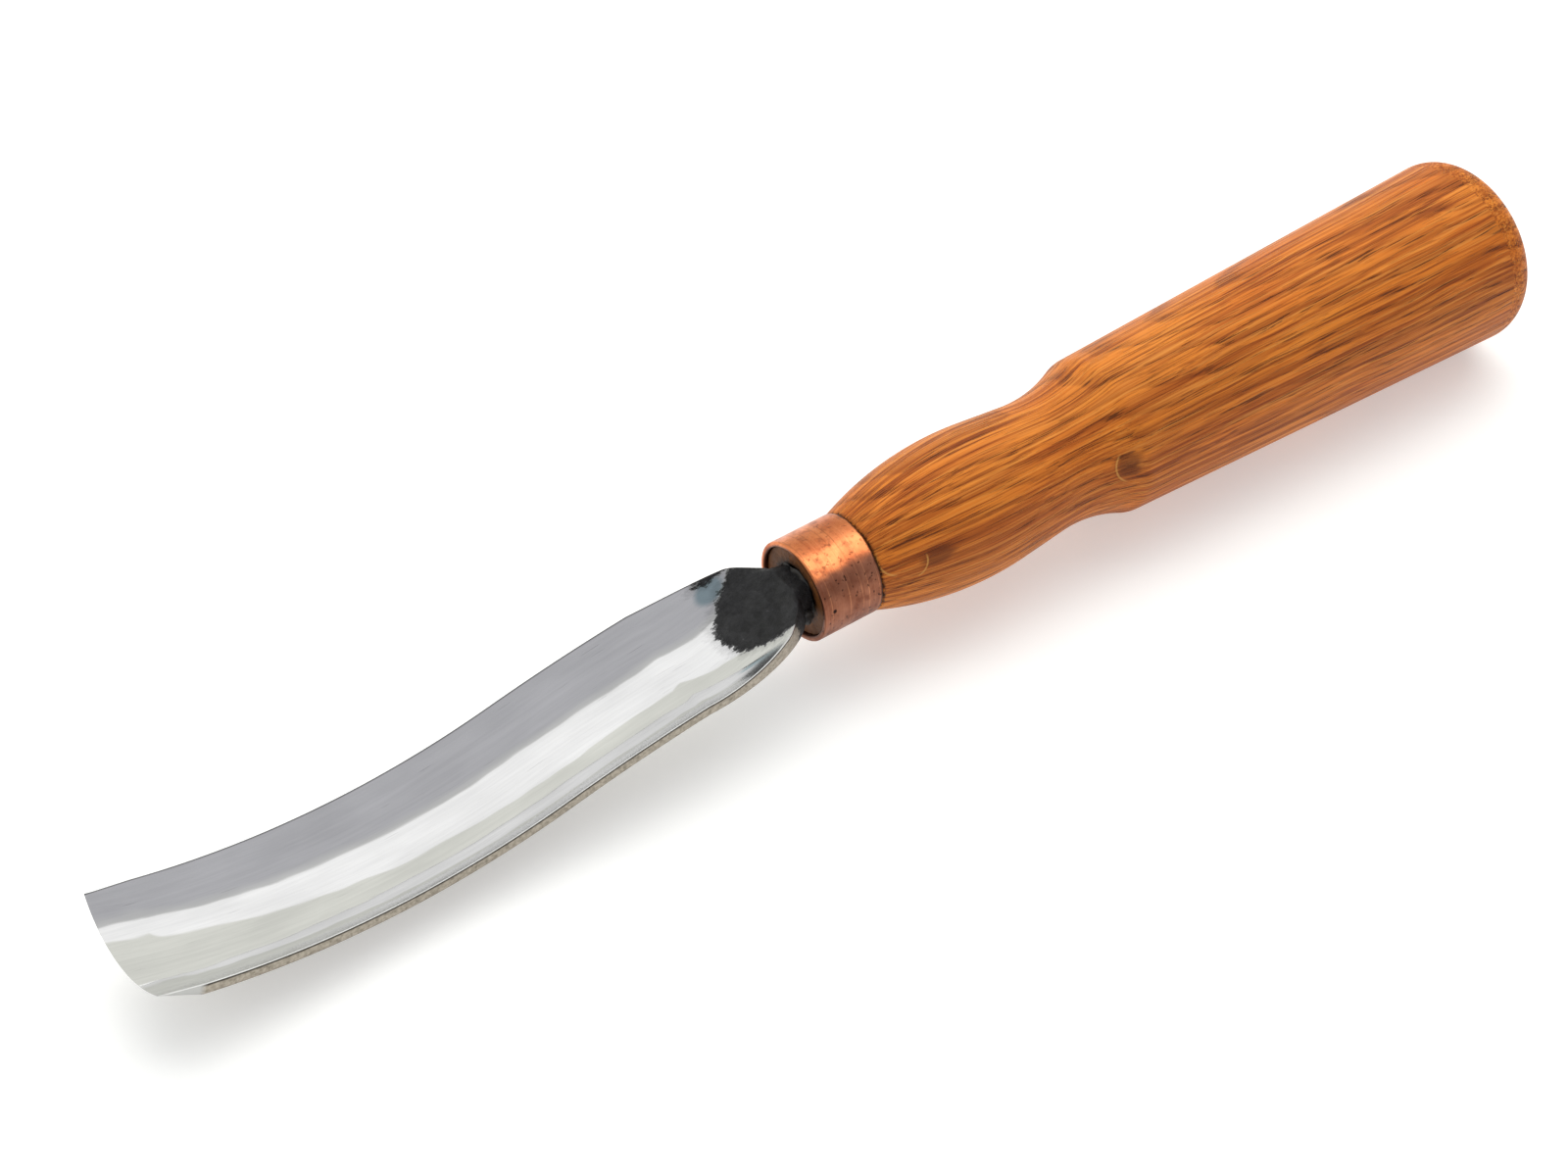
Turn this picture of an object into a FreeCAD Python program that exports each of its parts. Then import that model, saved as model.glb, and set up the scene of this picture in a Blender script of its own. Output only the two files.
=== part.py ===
"""Carving gouge: a forged blade bedded in a turned wooden handle behind a copper ferrule.

Millimetres. The tool lies on its belly and on the rim of its butt, channel up, with the handle's axis
level. +X runs from the cutting edge to the butt, +Z is up, and the model is symmetric about Y = 0. The
frame's origin is at the bottom centre of the whole tool. Inside each body, X = 0 is the front mouth of the
ferrule and the X axis is the handle's axis.
"""
import FreeCAD, Part
import os
import Sketcher

DIMENSIONS = {
    # blade, side view: the rim line has a straight nose, a hollow bow and a gentle rise to the shoulders
    "nose_pitch": 17.2,
    "bevel_length": 7.6,
    "bow_x": -76.5,
    "bow_drop": 8.3,
    "bow_curve": 116.5,
    "rise_pitch": 13.1,
    "rise_curve": 247.0,
    "shoulder_pitch": 7.0,
    # blade, section across the channel
    "edge_width": 22.0,
    "blade_width": 22.7,
    "edge_hollow": 3.5,
    "heel_hollow": 4.0,
    "channel_hollow": 5.0,
    "side_height": 2.2,
    "web": 3.5,
    "edge_land": 0.12,
    # blade, shoulders, neck and tang
    "shoulder_length": 22.3,
    "shoulder_rise": 4.8,
    "neck_width": 8.6,
    "neck_height": 8.0,
    "neck_side": 4.8,
    "neck_hollow": 0.3,
    "tang_root": 6.4,
    "tang_point": 2.6,
    "tang_end": 62.0,
    # ferrule
    "ferrule_length": 11.3,
    "ferrule_radius": 8.65,
    "ferrule_wall": 0.9,
    "ferrule_edge": 0.3,
    # handle
    "tenon_setback": 0.7,
    "swell_x": 33.6,
    "swell_radius": 12.55,
    "swell_curve": 62.0,
    "cove_x": 50.8,
    "cove_radius": 11.3,
    "cove_curve": 27.0,
    "lip_curve": 5.0,
    "grip_taper": 2.0,
    "butt_radius": 16.8,
    "butt_round": 4.3,
    "handle_end": 150.0,
    # stepped bore for the tang: three radii and the places where each one ends
    "bore_front": 4.8,
    "bore_middle": 3.9,
    "bore_tip": 2.9,
    "front_end": 24.0,
    "middle_end": 46.0,
    "bore_end": 66.0,
}

# The bow's sections, as parts of the angle from its lowest point: -1 is the heel of the bevel.
HEEL_TO_LOW = (-1.0, -0.5)
LOW_TO_RISE = (0.0, 0.5, 1.0)
# The shoulders' sections, as parts of their length.
SHOULDERS = (0.3, 0.55, 0.75, 0.9, 0.98)

EDGE_X = "(<bow_x> - <bow_curve> * sin(<nose_pitch>) - <bevel_length> * cos(<nose_pitch>))"
EDGE_POINT = f"(-({EDGE_X}) + <edge_hollow> * sin(<nose_pitch>))"
JOIN_X = "(<bow_x> + <bow_curve> * sin(<rise_pitch>))"
JOIN_Z = "(<bow_curve> * (1 - cos(<rise_pitch>)) - <bow_drop>)"

doc = FreeCAD.newDocument("carving_gouge")
sheet = doc.addObject("Spreadsheet::Sheet", "Sizes")
for row, (alias, value) in enumerate(DIMENSIONS.items(), start=1):
    sheet.set(f"A{row}", alias)
    sheet.set(f"B{row}", str(value))
    sheet.setAlias(f"B{row}", alias)
doc.recompute()


def on_sheet(formula):
    """The formula with each <alias> written as a reference to the spreadsheet."""
    return formula.replace("<", "Sizes.").replace(">", "")


def value_of(formula):
    return float(sheet.evalExpression(on_sheet(formula)))


def new_body(label):
    """A body whose own X axis is the handle's axis, placed in the frame of the whole tool."""
    body = doc.addObject("PartDesign::Body", label)
    body.Label = label
    body.setExpression("Placement.Base.x", on_sheet(f"({EDGE_POINT} - <handle_end>) / 2"))
    body.setExpression("Placement.Base.z", on_sheet("<butt_radius>"))
    return body


def plane_of(body, role):
    return next(f for f in body.Origin.OriginFeatures if f.Role == role)


def new_sketch(body, name, role):
    sketch = body.newObject("Sketcher::SketchObject", name)
    sketch.AttachmentSupport = [(plane_of(body, role), "")]
    sketch.MapMode = "FlatFace"
    return sketch


def relation(kind, *where):
    return Sketcher.Constraint(kind, *where)


def dimension(name, formula, kind, *where):
    """A named dimension whose value comes from the sheet."""
    return name, formula, Sketcher.Constraint(kind, *where, value_of(formula))


def point_at(name, edge, end, across, up):
    """The two dimensions that fix one end of an edge from the sketch's origin."""
    return [
        dimension(f"{name}_across", across, "DistanceX", -1, 1, edge, end),
        dimension(f"{name}_up", up, "DistanceY", -1, 1, edge, end),
    ]


def constrain(sketch, relations, dimensions):
    """Put every constraint in at once, so that the sketch is solved whole, then bind the dimensions."""
    sketch.addConstraint(relations + [constraint for _, _, constraint in dimensions])
    for index, (name, formula, _) in enumerate(dimensions, start=len(relations)):
        sketch.renameConstraint(index, name)
        sketch.setExpression(f"Constraints.{name}", on_sheet(formula))


def add_polygon(sketch, corners):
    """A closed outline of straight edges through corners given as pairs of formulas."""
    points = [FreeCAD.Vector(value_of(x), value_of(y), 0) for x, y in corners]
    count = len(points)
    edges = [Part.LineSegment(points[i], points[(i + 1) % count]) for i in range(count)]
    sketch.addGeometry(edges, False)
    relations = [relation("Coincident", i, 2, (i + 1) % count, 1) for i in range(count)]
    dimensions = []
    for i, (x, y) in enumerate(corners):
        dimensions += point_at(f"corner{i}", i, 1, x, y)
    constrain(sketch, relations, dimensions)


def channel_section(body, name, place, size):
    """One section of the blade, square to its rim line: hollow top, upright sides and a round back.

    place holds the formulas of the rim line's X, Z and pitch; size those of the half width, the hollow's
    depth, the sides' height and the thickness in the middle.
    """
    x, z, pitch = place
    half_width, hollow, side, web = size
    sketch = new_sketch(body, name, "YZ_Plane")
    pitch_axis = FreeCAD.Rotation(FreeCAD.Vector(-1, 0, 0), 1.0)
    sketch.AttachmentOffset = FreeCAD.Placement(FreeCAD.Vector(), pitch_axis)
    sketch.setExpression("AttachmentOffset.Base.z", on_sheet(x))
    sketch.setExpression("AttachmentOffset.Base.y", on_sheet(z))
    sketch.setExpression("AttachmentOffset.Rotation.Angle", on_sheet(pitch))
    half, drop, height = value_of(half_width), value_of(hollow), value_of(side)
    back = value_of(f"{hollow} + {web}")
    left_top, right_top = FreeCAD.Vector(-half, 0, 0), FreeCAD.Vector(half, 0, 0)
    left_low, right_low = FreeCAD.Vector(-half, -height, 0), FreeCAD.Vector(half, -height, 0)
    sketch.addGeometry([
        Part.Arc(left_top, FreeCAD.Vector(0, -drop, 0), right_top),
        Part.LineSegment(right_top, right_low),
        Part.Arc(left_low, FreeCAD.Vector(0, -back, 0), right_low),
        Part.LineSegment(left_low, left_top),
    ], False)
    curve = "(({0}) ^ 2 + ({1}) ^ 2) / (2 * ({1}))"
    relations = [relation("Coincident", *ends) for ends in
                 ((0, 2, 1, 1), (1, 2, 2, 2), (2, 1, 3, 1), (3, 2, 0, 1))]
    constrain(sketch, relations, [
        *point_at("right_rim", 1, 1, half_width, "0"),
        *point_at("right_foot", 1, 2, half_width, f"-({side})"),
        *point_at("left_foot", 3, 1, f"-({half_width})", f"-({side})"),
        *point_at("left_rim", 3, 2, f"-({half_width})", "0"),
        dimension("hollow_curve", curve.format(half_width, hollow), "Radius", 0),
        dimension("back_curve", curve.format(half_width, f"{hollow} + {web} - ({side})"), "Radius", 2),
    ])
    return sketch


def add_loft(body, name, kind, sections, ruled=False):
    loft = body.newObject(kind, name)
    loft.Profile = sections[0]
    loft.Sections = sections[1:]
    loft.Ruled = ruled
    return loft


def add_tang(body, kind):
    """The square tapered tang, added to the blade or cut out of the bedding."""
    ends = []
    for name, x, width in (("Tang_root", "<tenon_setback>", "<tang_root>"),
                           ("Tang_point", "<tang_end>", "<tang_point>")):
        sketch = new_sketch(body, name, "YZ_Plane")
        sketch.setExpression("AttachmentOffset.Base.z", on_sheet(x))
        half = f"{width} / 2"
        add_polygon(sketch, [(half, half), (f"-{half}", half), (f"-{half}", f"-{half}"), (half, f"-{half}")])
        ends.append(sketch)
    return add_loft(body, "Tang", kind, ends, ruled=True)


def make_blade():
    body = new_body("blade")
    half = "<blade_width> / 2"

    def on_bow(pitch):
        x = f"<bow_x> + <bow_curve> * sin({pitch})"
        z = f"<bow_curve> * (1 - cos({pitch})) - <bow_drop>"
        return x, z, pitch

    def on_rise(pitch):
        x = f"{JOIN_X} + <rise_curve> * (sin(<rise_pitch>) - sin({pitch}))"
        z = f"{JOIN_Z} + <rise_curve> * (cos({pitch}) - cos(<rise_pitch>))"
        return x, z, pitch

    sections = []
    for part in HEEL_TO_LOW:
        hollow = f"<channel_hollow> - (<heel_hollow> - <channel_hollow>) * {part}"
        size = (half, hollow, "<side_height>", "<web>")
        sections.append(channel_section(body, f"Bow{len(sections)}", on_bow(f"<nose_pitch> * {part}"), size))
    full_size = (half, "<channel_hollow>", "<side_height>", "<web>")
    for part in LOW_TO_RISE:
        place = on_bow(f"<rise_pitch> * {part}")
        sections.append(channel_section(body, f"Bow{len(sections)}", place, full_size))
    middle_pitch = "(<rise_pitch> + <shoulder_pitch>) / 2"
    for name, pitch in (("Rise", middle_pitch), ("Shoulder_start", "<shoulder_pitch>")):
        sections.append(channel_section(body, name, on_rise(pitch), full_size))
    add_loft(body, "Channel", "PartDesign::AdditiveLoft", sections)

    edge_z = "<bow_curve> * (1 - cos(<nose_pitch>)) - <bow_drop> + <bevel_length> * sin(<nose_pitch>)"
    edge_size = ("<edge_width> / 2", "<edge_hollow>", "<edge_land>", "<edge_land>")
    edge = channel_section(body, "Edge", (EDGE_X, edge_z, "-<nose_pitch>"), edge_size)
    add_loft(body, "Bevel", "PartDesign::AdditiveLoft", [sections[0], edge], ruled=True)

    start_x, start_z, _ = on_rise("<shoulder_pitch>")
    shoulders = [sections[-1]]
    for part in SHOULDERS:
        x = f"{start_x} + <shoulder_length> * {part}"
        z = f"{start_z} + <shoulder_rise> * {part} ^ 2"
        half_width = f"<neck_width> / 2 + ({half} - <neck_width> / 2) * sqrt(1 - {part} ^ 2)"
        hollow = f"<neck_hollow> + (<channel_hollow> - <neck_hollow>) * (1 - {part} ^ 2)"
        side = f"<side_height> + (<neck_side> - <side_height>) * {part} ^ 2"
        web = f"<web> + (<neck_height> - <neck_hollow> - <web>) * {part} ^ 2"
        size = (half_width, hollow, side, web)
        shoulders.append(channel_section(body, f"Shoulder{len(shoulders)}", (x, z, "<shoulder_pitch>"), size))
    add_loft(body, "Shoulders", "PartDesign::AdditiveLoft", shoulders)

    neck_z = f"{start_z} + <shoulder_rise>"
    neck_size = ("<neck_width> / 2", "<neck_hollow>", "<neck_side>", "<neck_height> - <neck_hollow>")
    neck = channel_section(body, "Neck_end", ("<tenon_setback>", neck_z, "0"), neck_size)
    add_loft(body, "Neck", "PartDesign::AdditiveLoft", [shoulders[-1], neck], ruled=True)
    add_tang(body, "PartDesign::AdditiveLoft")
    return body


def make_ferrule():
    body = new_body("ferrule")
    sketch = new_sketch(body, "Tube_section", "YZ_Plane")
    outside, inside = "<ferrule_radius>", "<ferrule_radius> - <ferrule_wall>"
    centre, normal = FreeCAD.Vector(), FreeCAD.Vector(0, 0, 1)
    sketch.addGeometry([Part.Circle(centre, normal, value_of(size)) for size in (outside, inside)], False)
    centred = [relation("Coincident", i, 3, -1, 1) for i in range(2)]
    constrain(sketch, centred, [
        dimension("outside", outside, "Radius", 0),
        dimension("inside", inside, "Radius", 1),
    ])
    tube = body.newObject("PartDesign::Pad", "Tube")
    tube.Profile = sketch
    tube.setExpression("Length", on_sheet("<ferrule_length>"))
    doc.recompute()
    rims = [f"Edge{i}" for i, edge in enumerate(tube.Shape.Edges, start=1)
            if hasattr(edge.Curve, "Radius") and abs(edge.Curve.Radius - value_of(outside)) < 0.01]
    rounding = body.newObject("PartDesign::Fillet", "Rolled_rims")
    rounding.Base = (tube, rims)
    rounding.setExpression("Radius", on_sheet("<ferrule_edge>"))
    return body


def handle_outline(body):
    """Half of the handle's outline above its axis, with every stretch tangent to the next."""
    sketch = new_sketch(body, "Outline", "XZ_Plane")
    length, top = value_of("<handle_end>"), value_of("<butt_radius>")
    front, seat_x = value_of("<tenon_setback>"), value_of("<ferrule_length>")
    tenon = value_of("<ferrule_radius> - <ferrule_wall>")
    swell_run = "(<swell_x> - <ferrule_length>)"
    seat = value_of(f"<swell_radius> - <swell_curve> + sqrt(<swell_curve> ^ 2 - {swell_run} ^ 2)")
    swell_x, swell, swell_curve = (value_of(f"<swell_{k}>") for k in ("x", "radius", "curve"))
    cove_x, cove, cove_curve = (value_of(f"<cove_{k}>") for k in ("x", "radius", "curve"))
    lip_curve, rounding = value_of("<lip_curve>"), value_of("<butt_round>")

    def point(x, y):
        return FreeCAD.Vector(x, y, 0)

    # near the places that the tangencies settle exactly
    swell_end = point(swell_x + 0.1 * swell_curve, swell - 0.005 * swell_curve)
    cove_start = point(cove_x - 0.1 * cove_curve, cove + 0.005 * cove_curve)
    cove_end = point(cove_x + 0.4 * cove_curve, cove + 0.083 * cove_curve)
    lip_end = point(cove_end.x + 0.36 * lip_curve, cove_end.y + 0.08 * lip_curve)
    lip_middle = (cove_end + lip_end) * 0.5 + point(-0.02, 0.05)
    butt_start = point(length - rounding, top)
    butt_middle = point(length - 0.293 * rounding, top - 0.293 * rounding)
    butt_end = point(length, top - rounding)
    sketch.addGeometry([
        Part.LineSegment(point(front, 0), point(front, tenon)),
        Part.LineSegment(point(front, tenon), point(seat_x, tenon)),
        Part.LineSegment(point(seat_x, tenon), point(seat_x, seat)),
        Part.Arc(point(seat_x, seat), point(swell_x, swell), swell_end),
        Part.LineSegment(swell_end, cove_start),
        Part.Arc(cove_start, point(cove_x, cove), cove_end),
        Part.Arc(cove_end, lip_middle, lip_end),
        Part.LineSegment(lip_end, butt_start),
        Part.Arc(butt_start, butt_middle, butt_end),
        Part.LineSegment(butt_end, point(length, 0)),
        Part.LineSegment(point(length, 0), point(front, 0)),
    ], False)
    face, tenon_side, step, swell_arc, slope, cove_arc, lip_arc, grip, butt_arc, butt, axis = range(11)
    relations = [relation("Vertical", line) for line in (face, step, butt)]
    relations += [relation("Horizontal", line) for line in (tenon_side, axis)]
    relations += [relation("Coincident", *ends) for ends in
                  ((face, 2, tenon_side, 1), (tenon_side, 2, step, 1), (step, 2, swell_arc, 2),
                   (butt, 2, axis, 1), (axis, 2, face, 1))]
    relations += [relation("Tangent", *ends) for ends in
                  ((swell_arc, 1, slope, 1), (slope, 2, cove_arc, 1), (cove_arc, 2, lip_arc, 2),
                   (lip_arc, 1, grip, 1), (grip, 2, butt_arc, 2), (butt_arc, 1, butt, 1))]
    constrain(sketch, relations, [
        *point_at("front", face, 1, "<tenon_setback>", "0"),
        *point_at("tenon", tenon_side, 2, "<ferrule_length>", "<ferrule_radius> - <ferrule_wall>"),
        *point_at("swell_centre", swell_arc, 3, "<swell_x>", "<swell_radius> - <swell_curve>"),
        dimension("swell_curve", "<swell_curve>", "Radius", swell_arc),
        *point_at("cove_centre", cove_arc, 3, "<cove_x>", "<cove_radius> + <cove_curve>"),
        dimension("cove_curve", "<cove_curve>", "Radius", cove_arc),
        dimension("lip_curve", "<lip_curve>", "Radius", lip_arc),
        dimension("grip_taper", "<grip_taper> * 1 deg", "Angle", -1, 1, grip, 1),
        *point_at("butt_centre", butt_arc, 3, "<handle_end> - <butt_round>", "<butt_radius> - <butt_round>"),
        dimension("butt_round", "<butt_round>", "Radius", butt_arc),
    ])
    return sketch


def bore_outline(body):
    """Half of the stepped bore that takes the tang."""
    sketch = new_sketch(body, "Bore_outline", "XZ_Plane")
    add_polygon(sketch, [
        ("<tenon_setback>", "0"),
        ("<tenon_setback>", "<bore_front>"),
        ("<front_end>", "<bore_front>"),
        ("<front_end>", "<bore_middle>"),
        ("<middle_end>", "<bore_middle>"),
        ("<middle_end>", "<bore_tip>"),
        ("<bore_end>", "<bore_tip>"),
        ("<bore_end>", "0"),
    ])
    return sketch


def turn(body, name, kind, sketch):
    feature = body.newObject(kind, name)
    feature.Profile = sketch
    feature.ReferenceAxis = (sketch, ["H_Axis"])
    feature.Angle = 360.0
    return feature


def make_handle():
    body = new_body("handle")
    turn(body, "Turning", "PartDesign::Revolution", handle_outline(body))
    doc.recompute()
    turn(body, "Bore", "PartDesign::Groove", bore_outline(body))
    return body


def make_tang_adhesive():
    body = new_body("tang_adhesive")
    turn(body, "Filled_bore", "PartDesign::Revolution", bore_outline(body))
    doc.recompute()
    add_tang(body, "PartDesign::SubtractiveLoft")
    return body


bodies = [make_blade(), make_ferrule(), make_handle(), make_tang_adhesive()]
doc.recompute()

for thing in doc.Objects:
    if "Invalid" in thing.State or "Error" in thing.State:
        raise RuntimeError(f"{thing.Name} did not recompute: {thing.State}")
for body in bodies:
    if body.Shape.isNull() or not body.Shape.isValid() or len(body.Shape.Solids) != 1:
        raise RuntimeError(f"{body.Label} is not one valid solid")

os.makedirs("parts", exist_ok=True)
for body in bodies:
    body.Shape.exportStep(f"parts/{body.Label}.step")
    box = body.Shape.optimalBoundingBox(True, False)
    print(f"{body.Label}: x {box.XMin:.2f}..{box.XMax:.2f}, y {box.YMin:.2f}..{box.YMax:.2f}, "
          f"z {box.ZMin:.2f}..{box.ZMax:.2f}, volume {body.Shape.Volume:.0f}")
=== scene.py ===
"""Carving gouge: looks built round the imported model, in metres, in the model's own frame."""
import math
import random

import bmesh
import bpy
import numpy as np
from mathutils import Matrix, Vector


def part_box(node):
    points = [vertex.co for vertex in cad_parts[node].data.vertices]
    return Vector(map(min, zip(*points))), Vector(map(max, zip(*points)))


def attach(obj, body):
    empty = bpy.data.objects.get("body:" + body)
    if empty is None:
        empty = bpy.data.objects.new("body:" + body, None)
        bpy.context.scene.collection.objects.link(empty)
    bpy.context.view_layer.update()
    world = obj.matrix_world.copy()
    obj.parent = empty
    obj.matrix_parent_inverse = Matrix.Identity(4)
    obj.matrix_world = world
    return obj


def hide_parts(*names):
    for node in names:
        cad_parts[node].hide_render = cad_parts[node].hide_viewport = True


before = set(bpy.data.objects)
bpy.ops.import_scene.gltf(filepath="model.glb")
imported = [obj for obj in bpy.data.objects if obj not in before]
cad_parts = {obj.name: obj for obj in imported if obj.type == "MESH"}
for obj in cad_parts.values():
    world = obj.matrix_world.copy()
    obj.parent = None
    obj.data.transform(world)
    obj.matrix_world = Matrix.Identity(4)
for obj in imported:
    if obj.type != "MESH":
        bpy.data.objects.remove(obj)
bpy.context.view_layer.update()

MM = 0.001

# ---------------------------------------------------------------- places read from the frame

ferrule_low, ferrule_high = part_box("ferrule")
handle_low, handle_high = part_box("handle")
blade_low, blade_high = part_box("blade")

MOUTH = ferrule_low.x
AXIS_HEIGHT = (ferrule_low.z + ferrule_high.z) / 2
FERRULE_LENGTH = ferrule_high.x - ferrule_low.x
FERRULE_RADIUS = (ferrule_high.y - ferrule_low.y) / 2
BUTT_RADIUS = (handle_high.y - handle_low.y) / 2
HANDLE_END = handle_high.x - MOUTH
TENON_FRONT = handle_low.x - MOUTH
BLADE_WIDTH = blade_high.y - blade_low.y
TANG_END = blade_high.x - MOUTH

# ---------------------------------------------------------------- mesh helpers


def tool_point(x, y, z):
    """A point given from the ferrule's mouth, on the handle's axis, in the frame."""
    return MOUTH + x, y, AXIS_HEIGHT + z


def make_object(name, points, faces, materials, face_slots=None):
    """A smooth-shaded mesh object, with one of its materials for each face."""
    mesh = bpy.data.meshes.new(name)
    mesh.from_pydata([tuple(p) for p in points], [], faces)
    for material in materials:
        mesh.materials.append(material)
    if face_slots is not None:
        mesh.polygons.foreach_set("material_index", face_slots)
    mesh.polygons.foreach_set("use_smooth", [True] * len(mesh.polygons))
    mesh.update()
    piece = bpy.data.objects.new(name, mesh)
    bpy.context.scene.collection.objects.link(piece)
    return piece


def store(piece, name, values):
    """Keep one number per vertex on the mesh, for its material."""
    layer = piece.data.attributes.new(name, "FLOAT", "POINT")
    layer.data.foreach_set("value", np.asarray(values, dtype=np.float32))


def sharpen(piece, degrees):
    """Smooth shading everywhere except across edges sharper than this."""
    mesh = piece.data
    mesh.update()
    normals = [p.normal.copy() for p in mesh.polygons]
    edge_faces = {}
    for polygon in mesh.polygons:
        for key in polygon.edge_keys:
            edge_faces.setdefault(key, []).append(polygon.index)
    limit = math.cos(math.radians(degrees))
    sharp = []
    for edge in mesh.edges:
        users = edge_faces.get(edge.key, ())
        sharp.append(len(users) == 2 and normals[users[0]].dot(normals[users[1]]) < limit)
    layer = mesh.attributes.new("sharp_edge", "BOOLEAN", "EDGE")
    layer.data.foreach_set("value", sharp)


def smooth_step(low, high, value):
    """Rise smoothly from 0 to 1 as the value goes from low to high."""
    t = np.clip((value - low) / (high - low), 0.0, 1.0)
    return t * t * (3.0 - 2.0 * t)


def ripple(seed, count, low, high, *where):
    """A smooth random wave of about unit height: a sum of sines with fixed wavelengths and phases."""
    source = random.Random(seed)
    total = 0.0
    for _ in range(count):
        phase = source.uniform(0, math.tau)
        for place in where:
            phase = phase + place * math.tau / source.uniform(low, high) * source.choice((-1, 1))
        total = total + np.sin(phase)
    return total / math.sqrt(count)


# ---------------------------------------------------------------- blade shape

# the rim line, side view: a straight nose, a hollow bow, a gentle rise, then the shoulders up to the neck
NOSE_PITCH = math.radians(17.2)
RISE_PITCH = math.radians(13.1)
SHOULDER_PITCH = math.radians(7.0)
BEVEL_LENGTH = 7.6 * MM
BOW_X = -76.5 * MM
BOW_DROP = 8.3 * MM
BOW_CURVE = 116.5 * MM
RISE_CURVE = 247.0 * MM
# the section: its width at the edge, how far it hangs, the height of its sides and the thickness under it
EDGE_WIDTH = 22.0 * MM
EDGE_HOLLOW = 3.5 * MM
HEEL_HOLLOW = 4.0 * MM
CHANNEL_HOLLOW = 5.0 * MM
SIDE_HEIGHT = 2.2 * MM
WEB = 3.5 * MM
EDGE_LAND = 0.06 * MM
SHOULDER_LENGTH = 22.3 * MM
SHOULDER_RISE = 4.8 * MM
NECK_WIDTH = 8.6 * MM
NECK_HEIGHT = 8.0 * MM
NECK_SIDE = 4.8 * MM
NECK_HOLLOW = 0.3 * MM
TANG_ROOT = 6.4 * MM
TANG_POINT = 2.6 * MM

# rounded edges, and the stretch over which the section softens towards the neck
RIM_ROUND = 0.2 * MM
FOOT_ROUND = 0.35 * MM
ROUNDING_START = -7.5 * MM
ROUNDING_END = -1.5 * MM
NECK_SQUARENESS = 2.6

# the hand-polished channel is uneven: two sets of low waves, closer across it, that fade out at the rims
# each set has its random seed, its number of sines, and its shortest and longest wavelength
LONG_WAVE = (5, 5, 12 * MM, 34 * MM)
SHORT_WAVE = (8, 5, 4 * MM, 9 * MM)
SHORT_WAVE_SHARE = 0.3
WAVES_CLOSER = 1.6
WAVE_HEIGHT = 0.012 * MM
WAVE_FADE = 4 * MM

# how finely the blade is divided, round a section and along the rim line
ARC_POINTS = 56
SIDE_POINTS = 6
CORNER_POINTS = 5
BEVEL_ROWS = 14
BOW_ROWS = 64
RISE_ROWS = 28
SHOULDER_ROWS = 40
SHOULDER_ROWS_LEFT_OUT = 3
NECK_ROWS = 6
SHARP_STEEL = 38

HEEL_X = BOW_X - BOW_CURVE * math.sin(NOSE_PITCH)
HEEL_Z = BOW_CURVE * (1 - math.cos(NOSE_PITCH)) - BOW_DROP
JOIN_X = BOW_X + BOW_CURVE * math.sin(RISE_PITCH)
JOIN_Z = BOW_CURVE * (1 - math.cos(RISE_PITCH)) - BOW_DROP
SHOULDER_X = JOIN_X + RISE_CURVE * (math.sin(RISE_PITCH) - math.sin(SHOULDER_PITCH))
SHOULDER_Z = JOIN_Z + RISE_CURVE * (math.cos(SHOULDER_PITCH) - math.cos(RISE_PITCH))


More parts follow.
